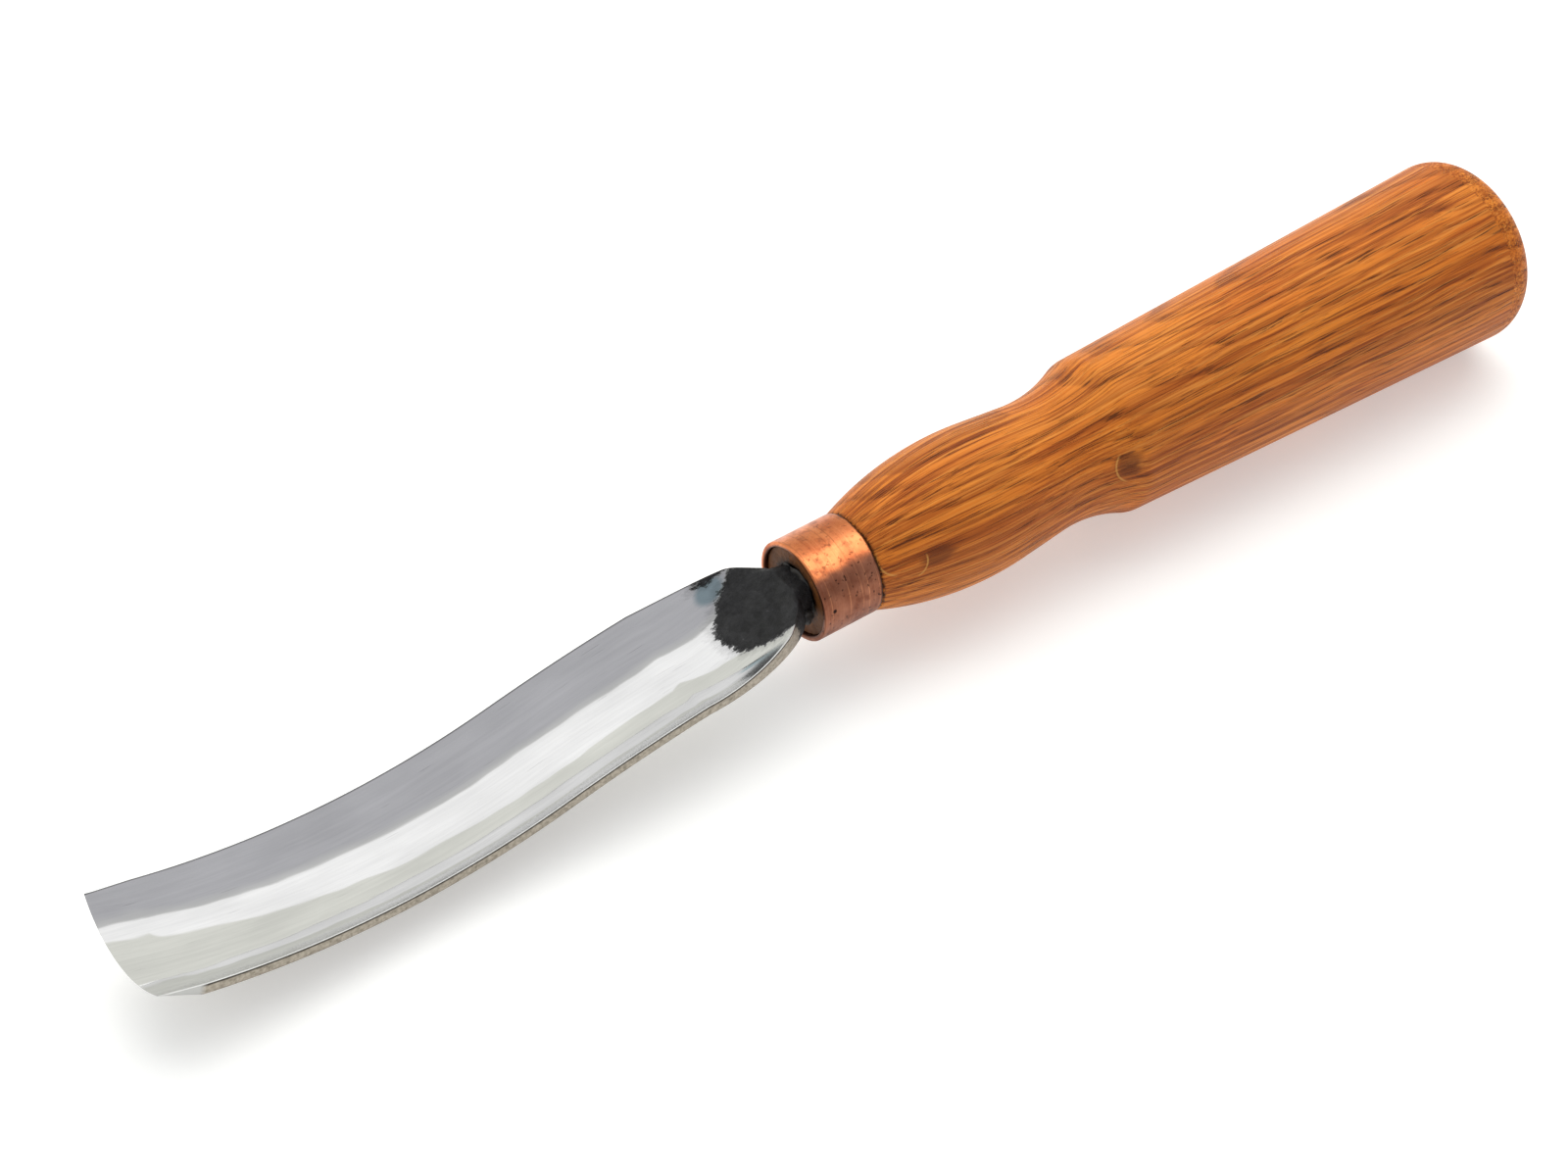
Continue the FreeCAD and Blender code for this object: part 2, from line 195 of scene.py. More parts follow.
def blade_stations():
    """The rim line from the edge to the neck: x, z, pitch, half width, hollow, side height, web."""
    half = BLADE_WIDTH / 2
    stations = []
    for t in np.linspace(0, 1, BEVEL_ROWS)[:-1]:
        back = BEVEL_LENGTH * (1 - t)
        stations.append((
            HEEL_X - back * math.cos(NOSE_PITCH),
            HEEL_Z + back * math.sin(NOSE_PITCH),
            -NOSE_PITCH,
            EDGE_WIDTH / 2 + (half - EDGE_WIDTH / 2) * t,
            EDGE_HOLLOW + (HEEL_HOLLOW - EDGE_HOLLOW) * t,
            EDGE_LAND + (SIDE_HEIGHT - EDGE_LAND) * t,
            EDGE_LAND + (WEB - EDGE_LAND) * t,
        ))
    for pitch in np.linspace(-NOSE_PITCH, RISE_PITCH, BOW_ROWS)[:-1]:
        share = min(0.0, pitch / NOSE_PITCH)
        hollow = CHANNEL_HOLLOW + (CHANNEL_HOLLOW - HEEL_HOLLOW) * share
        x = BOW_X + BOW_CURVE * math.sin(pitch)
        z = BOW_CURVE * (1 - math.cos(pitch)) - BOW_DROP
        stations.append((x, z, pitch, half, hollow, SIDE_HEIGHT, WEB))
    for pitch in np.linspace(RISE_PITCH, SHOULDER_PITCH, RISE_ROWS)[:-1]:
        x = JOIN_X + RISE_CURVE * (math.sin(RISE_PITCH) - math.sin(pitch))
        z = JOIN_Z + RISE_CURVE * (math.cos(pitch) - math.cos(RISE_PITCH))
        stations.append((x, z, pitch, half, CHANNEL_HOLLOW, SIDE_HEIGHT, WEB))
    for turn in np.linspace(0, 0.5 * math.pi, SHOULDER_ROWS)[:-SHOULDER_ROWS_LEFT_OUT]:
        u = math.sin(turn)
        stations.append((
            SHOULDER_X + SHOULDER_LENGTH * u,
            SHOULDER_Z + SHOULDER_RISE * u * u,
            SHOULDER_PITCH,
            NECK_WIDTH / 2 + (half - NECK_WIDTH / 2) * math.cos(turn),
            NECK_HOLLOW + (CHANNEL_HOLLOW - NECK_HOLLOW) * (1 - u * u),
            SIDE_HEIGHT + (NECK_SIDE - SIDE_HEIGHT) * u * u,
            WEB + (NECK_HEIGHT - NECK_HOLLOW - WEB) * u * u,
        ))
    last = stations[-1]
    neck = (TENON_FRONT, SHOULDER_Z + SHOULDER_RISE, 0.0, NECK_WIDTH / 2, NECK_HOLLOW, NECK_SIDE,
            NECK_HEIGHT - NECK_HOLLOW)
    for t in np.linspace(0, 1, NECK_ROWS)[1:]:
        stations.append(tuple(a + (b - a) * t for a, b in zip(last, neck)))
    return stations


def arc_across(half_width, depth, level, count):
    """Points from -half_width to +half_width along an arc that hangs below a level."""
    radius = (half_width ** 2 + depth ** 2) / (2 * depth)
    turn = math.asin(min(1.0, half_width / radius))
    angles = np.linspace(-turn, turn, count)
    return np.stack([radius * np.sin(angles), level - depth + radius * (1 - np.cos(angles))], 1)


def rounded_corner(before, corner, after, size, count=CORNER_POINTS):
    """A small curve in place of a corner, with its ends at most `size` from it."""
    a = before - corner
    b = after - corner
    start = corner + a / np.linalg.norm(a) * min(size, np.linalg.norm(a) * 0.4)
    end = corner + b / np.linalg.norm(b) * min(size, np.linalg.norm(b) * 0.4)
    t = np.linspace(0, 1, count)[:, None]
    return (1 - t) ** 2 * start + 2 * t * (1 - t) * corner + t ** 2 * end


def blade_loop(half, hollow, side, web):
    """One section as a closed loop, and which of its points lie in the channel or on its rims."""
    inner = arc_across(half, hollow, 0.0, ARC_POINTS)
    back = arc_across(half, hollow + web - side, -side, ARC_POINTS)[::-1]
    rim = np.array([half, 0.0])
    foot = np.array([half, -side])
    mirror = np.array([-1.0, 1.0])
    right_rim = rounded_corner(inner[-2], rim, foot, RIM_ROUND)
    right_foot = rounded_corner(rim, foot, back[1], FOOT_ROUND)
    wall = np.linspace(right_rim[-1], right_foot[0], SIDE_POINTS)[1:-1]
    left_foot = (right_foot * mirror)[::-1]
    left_wall = (wall * mirror)[::-1]
    left_rim = (right_rim * mirror)[::-1]
    parts = (inner[1:-1], right_rim, wall, right_foot, back[1:-1], left_foot, left_wall, left_rim)
    in_channel = (True, True, False, False, False, False, False, True)
    channel = np.concatenate([np.full(len(part), flag) for part, flag in zip(parts, in_channel)])
    return np.concatenate(parts), channel


def soften_neck(loop, share):
    """Draw a section's corners in towards a rounded outline of the same width and height."""
    middle = np.array([0.0, (loop[:, 1].max() + loop[:, 1].min()) / 2])
    away = loop - middle
    unit = np.abs(away / np.abs(away).max(axis=0))
    reach = (unit ** NECK_SQUARENESS).sum(axis=1) ** (1 / NECK_SQUARENESS)
    return middle + away * ((1 - share) + share / np.maximum(reach, 1.0))[:, None]


def square_loop(loop, width):
    """The loop's points moved out to a square of this width, round the same centre line."""
    centre = np.array([0.0, (loop[:, 1].max() + loop[:, 1].min()) / 2])
    away = loop - centre
    scale = (width / 2) / np.abs(away).max(axis=1)
    return away * scale[:, None]


def make_blade(polished, ground):
    """The forging, section by section, with what its materials need kept at each point."""
    rings, along, inside, below = [], [], [], []
    distance = 0.0
    stations = blade_stations()
    previous = stations[0]
    for station in stations:
        x, z, pitch, half, hollow, side, web = station
        loop, channel = blade_loop(half, hollow, side, web)
        distance += math.hypot(x - previous[0], z - previous[1])
        previous = station
        from_rim = half - np.abs(loop[:, 0])
        lengthwise = np.full(len(loop), distance)
        sideways = loop[:, 0] * WAVES_CLOSER
        waves = ripple(*LONG_WAVE, lengthwise, sideways)
        waves = waves + SHORT_WAVE_SHARE * ripple(*SHORT_WAVE, lengthwise, sideways)
        waves = waves * smooth_step(0.0, WAVE_FADE, from_rim) * channel
        inside.append(from_rim)
        below.append(-loop[:, 1])
        loop = soften_neck(loop, float(smooth_step(ROUNDING_START, ROUNDING_END, x)))
        up = loop[:, 1] + waves * WAVE_HEIGHT
        rings.append(np.stack([x - up * math.sin(pitch), loop[:, 0], z + up * math.cos(pitch)], 1))
        along.append(distance)
    neck_loop, _ = blade_loop(*stations[-1][3:])
    for x, width in ((TENON_FRONT, TANG_ROOT), (TANG_END, TANG_POINT)):
        square = square_loop(neck_loop, width)
        rings.append(np.stack([np.full(len(square), x), square[:, 0], square[:, 1]], 1))
        distance += abs(x - previous[0])
        along.append(distance)
        inside.append(np.zeros(len(square)))
        below.append(np.full(len(square), NECK_HEIGHT))
    count = len(rings[0])
    points = [tool_point(*p) for ring in rings for p in ring]
    faces, slots = [], []
    for r in range(len(rings) - 1):
        for i in range(count):
            j = (i + 1) % count
            faces.append((r * count + i, (r + 1) * count + i, (r + 1) * count + j, r * count + j))
            slots.append(0 if channel[i] and channel[j] else 1)
    for r, order in ((0, 1), (len(rings) - 1, -1)):
        faces.extend(close_loop(r * count, count, order))
        slots.extend([1] * (len(faces) - len(slots)))
    piece = make_object("blade_forging", points, faces, [polished, ground], slots)
    store(piece, "along", np.repeat(along, count))
    store(piece, "across", np.concatenate([ring[:, 1] for ring in rings]))
    store(piece, "inside", np.concatenate(inside))
    store(piece, "below", np.concatenate(below))
    sharpen(piece, SHARP_STEEL)
    return piece


def close_loop(first, count, order):
    """Quads that close a section, each from its channel side to its back, starting in its right side."""
    back = ARC_POINTS - 2 + CORNER_POINTS + (SIDE_POINTS - 2) // 2
    front = back - 1
    faces = []
    while (back + 1) % count != front:
        next_back, next_front = (back + 1) % count, (front - 1) % count
        faces.append((first + front, first + back, first + next_back, first + next_front)[::order])
        back, front = next_back, next_front
    return faces


# ---------------------------------------------------------------- turned parts


def arc_points(centre, radius, start, end, count):
    """Points on an arc, with angles in radians from +X towards +R."""
    return [(centre[0] + radius * math.cos(a), centre[1] + radius * math.sin(a))
            for a in np.linspace(start, end, count)]


def lathe(name, outline, around, materials, closed=False):
    """Turn an outline of (x, radius) points round the handle's axis: a closed ring, or capped at its ends."""
    angles = np.linspace(0, math.tau, around, endpoint=False)
    points = [tool_point(x, radius * math.cos(angle), radius * math.sin(angle))
              for x, radius in outline for angle in angles]
    rows = len(outline)
    faces = []
    for r in range(rows if closed else rows - 1):
        s = (r + 1) % rows
        for i in range(around):
            j = (i + 1) % around
            faces.append((r * around + i, r * around + j, s * around + j, s * around + i))
    if not closed:
        faces.append(tuple(range(around))[::-1])
        faces.append(tuple((rows - 1) * around + i for i in range(around)))
    return make_object(name, points, faces, materials)


SWELL_X = 33.6 * MM
SWELL_RADIUS = 12.55 * MM
SWELL_CURVE = 62.0 * MM
COVE_X = 50.8 * MM
COVE_RADIUS = 11.3 * MM
COVE_CURVE = 27.0 * MM
LIP_CURVE = 5.0 * MM
GRIP_TAPER = math.radians(2.0)
BUTT_ROUND = 4.3 * MM
FERRULE_WALL = 0.9 * MM
BORE = 4.8 * MM
CHAMFER = 0.15 * MM
# where the swell begins behind the ferrule's rear rim: along the handle, and out from the tenon
SEAT_STEP = (0.05 * MM, 0.35 * MM)


def handle_outline():
    """The turned outline: from the bore's mouth, along the tenon, over swell, cove and grip to the butt."""
    tenon = FERRULE_RADIUS - FERRULE_WALL
    swell_centre = (SWELL_X, SWELL_RADIUS - SWELL_CURVE)
    cove_centre = (COVE_X, COVE_RADIUS + COVE_CURVE)
    gap = math.hypot(cove_centre[0] - swell_centre[0], cove_centre[1] - swell_centre[1])
    heading = math.atan2(cove_centre[1] - swell_centre[1], cove_centre[0] - swell_centre[0])
    # the slope between the two arcs is their inner common tangent
    tangent = heading + math.acos((SWELL_CURVE + COVE_CURVE) / gap)
    butt_centre = (HANDLE_END - BUTT_ROUND, BUTT_RADIUS - BUTT_ROUND)
    # the lip's centre lies one lip radius below the grip's line and touches the cove from outside
    grip_normal = (-math.sin(GRIP_TAPER), math.cos(GRIP_TAPER))
    base = (butt_centre[0] + grip_normal[0] * (BUTT_ROUND - LIP_CURVE),
            butt_centre[1] + grip_normal[1] * (BUTT_ROUND - LIP_CURVE))
    direction = (-math.cos(GRIP_TAPER), -math.sin(GRIP_TAPER))
    to_base = (base[0] - cove_centre[0], base[1] - cove_centre[1])
    b = to_base[0] * direction[0] + to_base[1] * direction[1]
    c = to_base[0] ** 2 + to_base[1] ** 2 - (COVE_CURVE + LIP_CURVE) ** 2
    reach = -b - math.sqrt(b * b - c)
    lip_centre = (base[0] + direction[0] * reach, base[1] + direction[1] * reach)
    lip_start = math.atan2(cove_centre[1] - lip_centre[1], cove_centre[0] - lip_centre[0])
    grip_angle = math.pi / 2 + GRIP_TAPER
    seat_angle = math.acos((FERRULE_LENGTH - SWELL_X) / SWELL_CURVE)

    outline = [(TENON_FRONT, BORE), (TENON_FRONT, tenon - CHAMFER), (TENON_FRONT + CHAMFER, tenon)]
    outline += [(x, tenon) for x in np.linspace(TENON_FRONT, FERRULE_LENGTH, 8)[1:]]
    outline += [(FERRULE_LENGTH + SEAT_STEP[0], tenon + SEAT_STEP[1])]
    outline += arc_points(swell_centre, SWELL_CURVE, seat_angle, tangent, 60)[1:]
    cove_start = tangent + math.pi
    cove_end = lip_start + math.pi
    outline += arc_points(cove_centre, COVE_CURVE, cove_start, cove_end, 36)[1:]
    outline += arc_points(lip_centre, LIP_CURVE, lip_start, grip_angle, 14)[1:]
    lip_end = outline[-1]
    butt_start = arc_points(butt_centre, BUTT_ROUND, grip_angle, grip_angle, 1)[0]
    grip = np.linspace(lip_end, butt_start, 90)[1:-1]
    outline += [tuple(p) for p in grip]
    outline += arc_points(butt_centre, BUTT_ROUND, grip_angle, 0.0, 22)
    for share in (0.9, 0.7, 0.5, 0.3, 0.1):
        outline.append((HANDLE_END, butt_centre[1] * share))
    return outline


# ---------------------------------------------------------------- material helpers

# the Mix node's colour sockets, which share their names with its other kinds
MIX_A = 6
MIX_B = 7
MIX_RESULT = 2


def new_material(name):
    """A material with a bare Principled surface: the material, its node tree and the surface node."""
    material = bpy.data.materials.new(name)
    material.use_nodes = True
    tree = material.node_tree
    tree.nodes.clear()
    surface = tree.nodes.new("ShaderNodeBsdfPrincipled")
    output = tree.nodes.new("ShaderNodeOutputMaterial")
    tree.links.new(surface.outputs["BSDF"], output.inputs["Surface"])
    return material, tree, surface


def put(tree, target, value):
    """Link a socket to an input, or set the input's own value."""
    if isinstance(value, bpy.types.NodeSocket):
        tree.links.new(value, target)
    else:
        target.default_value = value


def node(tree, kind, inputs=None, **settings):
    """Add a node with these settings, and link or set its inputs."""
    made = tree.nodes.new(kind)
    for name, value in settings.items():
        setattr(made, name, value)
    for name, value in (inputs or {}).items():
        put(tree, made.inputs[name], value)
    return made


def calc(tree, operation, *values):
    return node(tree, "ShaderNodeMath", dict(enumerate(values)), operation=operation).outputs[0]


def vector_calc(tree, operation, a, b):
    return node(tree, "ShaderNodeVectorMath", {0: a, 1: b}, operation=operation).outputs[0]


def blend(tree, factor, a, b):
    """Colour a, which turns to colour b as the factor goes from 0 to 1."""
    inputs = {"Factor": factor, MIX_A: a, MIX_B: b}
    return node(tree, "ShaderNodeMix", inputs, data_type="RGBA").outputs[MIX_RESULT]


def remap(tree, value, low, high, to_low=0.0, to_high=1.0, smooth=False):
    """A clamped ramp: to_low where the value is low, to_high where it is high."""
    inputs = {"Value": value, "From Min": low, "From Max": high, "To Min": to_low, "To Max": to_high}
    kind = "SMOOTHSTEP" if smooth else "LINEAR"
    return node(tree, "ShaderNodeMapRange", inputs, interpolation_type=kind).outputs["Result"]


def scaled(tree, vector, scale, shift=(0, 0, 0)):
    return node(tree, "ShaderNodeMapping", {"Vector": vector, "Scale": scale, "Location": shift}).outputs[0]


def speckle(tree, vector, detail=3.0, roughness=0.5):
    """Noise from 0 to 1, about one lump to each unit of the vector."""
    inputs = {"Vector": vector, "Scale": 1.0, "Detail": detail, "Roughness": roughness}
    return node(tree, "ShaderNodeTexNoise", inputs).outputs["Fac"]


def centred(tree, noise, amount):
    """Noise moved to lie about zero, times an amount."""
    return calc(tree, "MULTIPLY", calc(tree, "SUBTRACT", noise, 0.5), amount)


def bump(tree, height, distance, strength=1.0, normal=None):
    inputs = {"Height": height, "Distance": distance, "Strength": strength}
    if normal is not None:
        inputs["Normal"] = normal
    return node(tree, "ShaderNodeBump", inputs).outputs["Normal"]


def split(tree, vector):
    """The X, Y and Z of a vector."""
    axes = node(tree, "ShaderNodeSeparateXYZ", {"Vector": vector})
    return tuple(axes.outputs[i] for i in range(3))


def hypotenuse(tree, a, b):
    return calc(tree, "SQRT", calc(tree, "ADD", calc(tree, "MULTIPLY", a, a), calc(tree, "MULTIPLY", b, b)))


def colour(red, green, blue):
    """An sRGB colour, 0 to 255, as linear RGBA."""
    linear = [((c / 255 + 0.055) / 1.055) ** 2.4 if c > 10 else c / 255 / 12.92 for c in (red, green, blue)]
    return (*linear, 1.0)


def tool_coordinates(tree):
    """Object coordinates counted from the ferrule's mouth on the handle's axis."""
    place = node(tree, "ShaderNodeTexCoord").outputs["Object"]
    return scaled(tree, place, (1, 1, 1), (-MOUTH, 0, -AXIS_HEIGHT))


def near_spot(tree, place, centre, size):
    """How far a place is from a spot on the surface, in units of the spot's size on each axis."""
    shares = vector_calc(tree, "DIVIDE", vector_calc(tree, "SUBTRACT", place, centre), size)
    return node(tree, "ShaderNodeVectorMath", {0: shares}, operation="LENGTH").outputs["Value"]


# ---------------------------------------------------------------- oak

# growth rings: the tree's heart lies below the handle, on its near side, and the grain runs out slowly
HEART_NEAR = 46 * MM
HEART_BELOW = 62 * MM
RUN_OUT = 0.055
RING_WIDTH = 2.3 * MM
RING_WANDER = 9 * MM
GRAIN_SWAY = 1.4 * MM
GRAIN_FOLLOWS = 0.85

# dark knotty patches, each with its place on the turned surface and its size
DARK_PATCHES = (
    ((20.9 * MM, -10.2 * MM, 4.7 * MM), (4.5 * MM, 2.4 * MM, 2.4 * MM)),
    ((59.0 * MM, -12.3 * MM, 4.3 * MM), (3.6 * MM, 3.0 * MM, 3.0 * MM)),
)
# pale crescent-shaped rays: the crescent's centre and radius, then the ball that its visible part lies in
RAY_FLECKS = (
    ((14.6 * MM, -7.4 * MM, 6.1 * MM), 3.4 * MM, (11.7 * MM, -7.4 * MM, 4.3 * MM), 3.2 * MM),
    ((16.3 * MM, -9.0 * MM, 4.6 * MM), 2.8 * MM, (18.9 * MM, -10.3 * MM, 3.3 * MM), 2.6 * MM),
    ((60.0 * MM, -12.3 * MM, 4.5 * MM), 3.2 * MM, (57.0 * MM, -11.4 * MM, 3.8 * MM), 3.4 * MM),
)

SEAM_WIDTH = 1.3 * MM
SEAM_RAGGED = 1.6 * MM
PORE_DEPTH = 0.14 * MM


def early_wood(tree, place):
    """1 in the open, darker part of each growth ring, 0 in the rest."""
    x, y, z = split(tree, place)
    wander = speckle(tree, scaled(tree, place, (20, 80, 80)), 2.0)
    ring_y = calc(tree, "ADD", y, HEART_NEAR)
    ring_z = calc(tree, "ADD", calc(tree, "ADD", z, HEART_BELOW), calc(tree, "MULTIPLY", x, RUN_OUT))
    radius = calc(tree, "ADD", hypotenuse(tree, ring_y, ring_z), centred(tree, wander, RING_WANDER))
    year = calc(tree, "FRACT", calc(tree, "DIVIDE", radius, RING_WIDTH))
    return calc(tree, "MULTIPLY", remap(tree, year, 0.0, 0.1, smooth=True),
                remap(tree, year, 0.6, 0.18, smooth=True))


def along_grain(tree, place):
    """Coordinates for the streaks, which sway and mostly follow the turned surface, as far as the butt."""
    x, y, z = split(tree, place)
    spread = calc(tree, "DIVIDE", SWELL_RADIUS, calc(tree, "MAXIMUM", hypotenuse(tree, y, z), 0.2 * MM))
    follow = remap(tree, x, HANDLE_END - 6 * MM, HANDLE_END - 1 * MM, GRAIN_FOLLOWS, 0.0)
    spread = calc(tree, "ADD", calc(tree, "MULTIPLY", spread, follow), calc(tree, "SUBTRACT", 1.0, follow))
    hug = node(tree, "ShaderNodeCombineXYZ", {
        "X": x, "Y": calc(tree, "MULTIPLY", y, spread), "Z": calc(tree, "MULTIPLY", z, spread)}).outputs[0]
    sway = node(tree, "ShaderNodeTexNoise", {"Vector": scaled(tree, place, (26, 60, 60)), "Scale": 1.0})
    sway = vector_calc(tree, "SUBTRACT", sway.outputs["Color"], (0.5, 0.5, 0.5))
    sway = vector_calc(tree, "MULTIPLY", sway, (0, GRAIN_SWAY, GRAIN_SWAY))
    return vector_calc(tree, "ADD", hug, sway)


def add_figure(tree, place, streak, tone):
    """Dark patches and pale rays over the wood's colour."""
    for centre, size in DARK_PATCHES:
        reach = calc(tree, "SUBTRACT", near_spot(tree, place, centre, size), centred(tree, streak, 1.4))
        tone = blend(tree, remap(tree, reach, 1.0, 0.5, 0.0, 0.68, smooth=True), tone, colour(92, 42, 14))
    for centre, bend, side, reach in RAY_FLECKS:
        arc = calc(tree, "ABSOLUTE", calc(tree, "SUBTRACT", near_spot(tree, place, centre, (bend,) * 3), 1.0))
        kept = remap(tree, near_spot(tree, place, side, (reach,) * 3), 1.0, 0.6, smooth=True)
        fleck = calc(tree, "MULTIPLY", remap(tree, arc, 0.08, 0.02, smooth=True), kept)
        tone = blend(tree, calc(tree, "MULTIPLY", fleck, 0.55), tone, colour(214, 156, 80))
    return tone


def add_ends(tree, place, tone):
    """Grime in the seam behind the ferrule, stained end grain in its mouth, near-black round the neck with
    bedding smear and painted shade, and the oil-dark flat butt.
    """
    x, y, z = split(tree, place)
    ragged = speckle(tree, scaled(tree, place, (1400, 1400, 1400)), 3.0, 0.7)
    seam_depth = calc(tree, "MULTIPLY_ADD", ragged, SEAM_RAGGED, x)
    seam_end = FERRULE_LENGTH + SEAM_WIDTH
    seam = calc(tree, "MULTIPLY", remap(tree, seam_depth, seam_end, seam_end - 0.4 * MM),
                remap(tree, x, FERRULE_LENGTH - 0.5 * MM, FERRULE_LENGTH))
    tone = blend(tree, calc(tree, "MULTIPLY", seam, 0.9), tone, colour(28, 16, 8))

    from_axis = calc(tree, "ADD", hypotenuse(tree, y, z), centred(tree, ragged, 3 * MM))
    rings = speckle(tree, scaled(tree, place, (1, 900, 500)), 3.0, 0.6)
    end_grain = blend(tree, rings, colour(78, 44, 20), colour(136, 84, 42))
    # towards the neck the tenon's face turns near-black in a ragged ring: bedding smeared on it, and painted
    # shade under the neck
    end_grain = blend(tree, remap(tree, from_axis, 6.0 * MM, 4.6 * MM), end_grain, colour(20, 14, 10))
    front = remap(tree, x, TENON_FRONT + 0.4 * MM, TENON_FRONT + 0.1 * MM)
    tone = blend(tree, front, tone, end_grain)
    butt = remap(tree, x, HANDLE_END - 1.2 * MM, HANDLE_END - 0.2 * MM, 0.0, 0.5)
    return blend(tree, butt, tone, colour(84, 44, 18))


def oak_material():
    """Oiled oak: bright late wood, brown early wood, long fine streaks and dark open pores."""
    material, tree, surface = new_material("oiled_oak")
    place = tool_coordinates(tree)
    early = early_wood(tree, place)
    grain = along_grain(tree, place)
    streak = speckle(tree, scaled(tree, grain, (9, 700, 700)), 4.0, 0.62)
    fine = speckle(tree, scaled(tree, grain, (20, 2100, 2100)), 4.0, 0.66)
    patch = speckle(tree, scaled(tree, place, (34, 110, 110)), 3.0, 0.55)
    pores = speckle(tree, scaled(tree, grain, (90, 4600, 4600)), 2.0, 0.5)
    pore = calc(tree, "MULTIPLY", remap(tree, pores, 0.57, 0.63, smooth=True),
                remap(tree, early, 0.0, 1.0, 0.35, 1.0))

    tone = blend(tree, remap(tree, patch, 0.35, 0.65), colour(216, 128, 44), colour(202, 110, 34))
    dark = remap(tree, streak, 0.56, 0.42, smooth=True)
    tone = blend(tree, calc(tree, "MULTIPLY", dark, 0.56), tone, colour(144, 66, 20))
    tone = blend(tree, calc(tree, "MULTIPLY", early, 0.36), tone, colour(112, 52, 12))
    tone = blend(tree, remap(tree, fine, 0.52, 0.66, 0.0, 0.5), tone, colour(226, 150, 68))
    tone = blend(tree, remap(tree, fine, 0.48, 0.36, 0.0, 0.72), tone, colour(116, 48, 12))
    tone = blend(tree, calc(tree, "MULTIPLY", pore, 0.8), tone, colour(72, 32, 8))
    tone = add_figure(tree, place, streak, tone)
    put(tree, surface.inputs["Base Color"], add_ends(tree, place, tone))

    surface.inputs["IOR"].default_value = 1.45
    surface.inputs["Specular IOR Level"].default_value = 0.22
    put(tree, surface.inputs["Roughness"], remap(tree, streak, 0.35, 0.65, 0.56, 0.42))
    relief = calc(tree, "SUBTRACT", calc(tree, "MULTIPLY", streak, 0.3), pore)
    put(tree, surface.inputs["Normal"], bump(tree, relief, PORE_DEPTH, 0.85))
    return material


# ---------------------------------------------------------------- copper

DIMPLE = (1.8 * MM, -8.4 * MM, 1.8 * MM)
DIMPLE_SIZE = (0.45 * MM,) * 3
# the near, lower side, as a direction, is browner, darker and duller than the top: tarnishing there, and
# painted shade
SHADED_SIDE = (-0.85, -0.53)
COPPER_RELIEF = 0.03 * MM


def copper_material():
    """Drawn copper tube: turning rings, stains and specks, with tarnishing and painted shade on its near,
    lower side.
    """
    material, tree, surface = new_material("tarnished_copper")
    place = tool_coordinates(tree)
    x, y, z = split(tree, place)
    rings = speckle(tree, scaled(tree, place, (3400, 40, 40)), 3.0, 0.65)
    blotch = speckle(tree, scaled(tree, place, (240, 160, 160)), 4.0, 0.6)
    stain = speckle(tree, scaled(tree, place, (460, 460, 460), (3, 1, 7)), 5.0, 0.7)
    dots = speckle(tree, scaled(tree, place, (1300, 1300, 1300)), 3.0, 0.6)
    speck = remap(tree, dots, 0.61, 0.67, smooth=True)

    # painted shade: the copper turns browner and darker towards the near, lower side, mixed with blotchy
    # tarnished patches
    low = calc(tree, "ADD", calc(tree, "MULTIPLY", y, SHADED_SIDE[0] / FERRULE_RADIUS),
               calc(tree, "MULTIPLY", z, SHADED_SIDE[1] / FERRULE_RADIUS))
    low = calc(tree, "ADD", centred(tree, blotch, 0.5), low)
    tarnish_and_shade = remap(tree, low, 0.0, 0.2, smooth=True)
    clean = blend(tree, remap(tree, blotch, 0.35, 0.65), colour(226, 138, 88), colour(190, 102, 62))
    brown = blend(tree, remap(tree, blotch, 0.35, 0.65), colour(166, 112, 88), colour(130, 80, 60))
    tone = blend(tree, tarnish_and_shade, clean, brown)
    tone = blend(tree, remap(tree, rings, 0.56, 0.72, 0.0, 0.55), tone, colour(128, 66, 44))
    tone = blend(tree, remap(tree, rings, 0.42, 0.3, 0.0, 0.4), tone, colour(240, 164, 116))
    tone = blend(tree, remap(tree, stain, 0.52, 0.72, 0.0, 0.75), tone, colour(112, 62, 46))
    speck_dark = calc(tree, "MULTIPLY", speck, remap(tree, tarnish_and_shade, 0.0, 1.0, 0.45, 0.85))
    tone = blend(tree, speck_dark, tone, colour(52, 30, 24))
    dimple = near_spot(tree, place, DIMPLE, DIMPLE_SIZE)
    tone = blend(tree, remap(tree, dimple, 1.0, 0.6), tone, colour(40, 22, 18))

    # the rear rim is dark with grime, and the inside of the tube is painted dull brown as the shade in its
    # mouth
    edge = calc(tree, "MULTIPLY_ADD", stain, 0.6 * MM, x)
    rear = remap(tree, edge, FERRULE_LENGTH - 0.1 * MM, FERRULE_LENGTH + 0.1 * MM, 0.0, 0.85)
    tone = blend(tree, rear, tone, colour(44, 26, 18))
    bore = remap(tree, hypotenuse(tree, y, z), FERRULE_RADIUS - 0.4 * MM, FERRULE_RADIUS - 0.8 * MM)
    put(tree, surface.inputs["Base Color"], blend(tree, bore, tone, colour(86, 52, 38)))

    surface.inputs["Metallic"].default_value = 1.0
    rough = calc(tree, "MULTIPLY_ADD", tarnish_and_shade, 0.12, remap(tree, stain, 0.35, 0.7, 0.24, 0.42))
    put(tree, surface.inputs["Roughness"], rough)
    height = calc(tree, "SUBTRACT", calc(tree, "MULTIPLY", rings, 0.5), speck)
    height = calc(tree, "SUBTRACT", height, remap(tree, dimple, 1.0, 0.3))
    put(tree, surface.inputs["Normal"], bump(tree, height, COPPER_RELIEF, 0.7))
    return material


# ---------------------------------------------------------------- steel

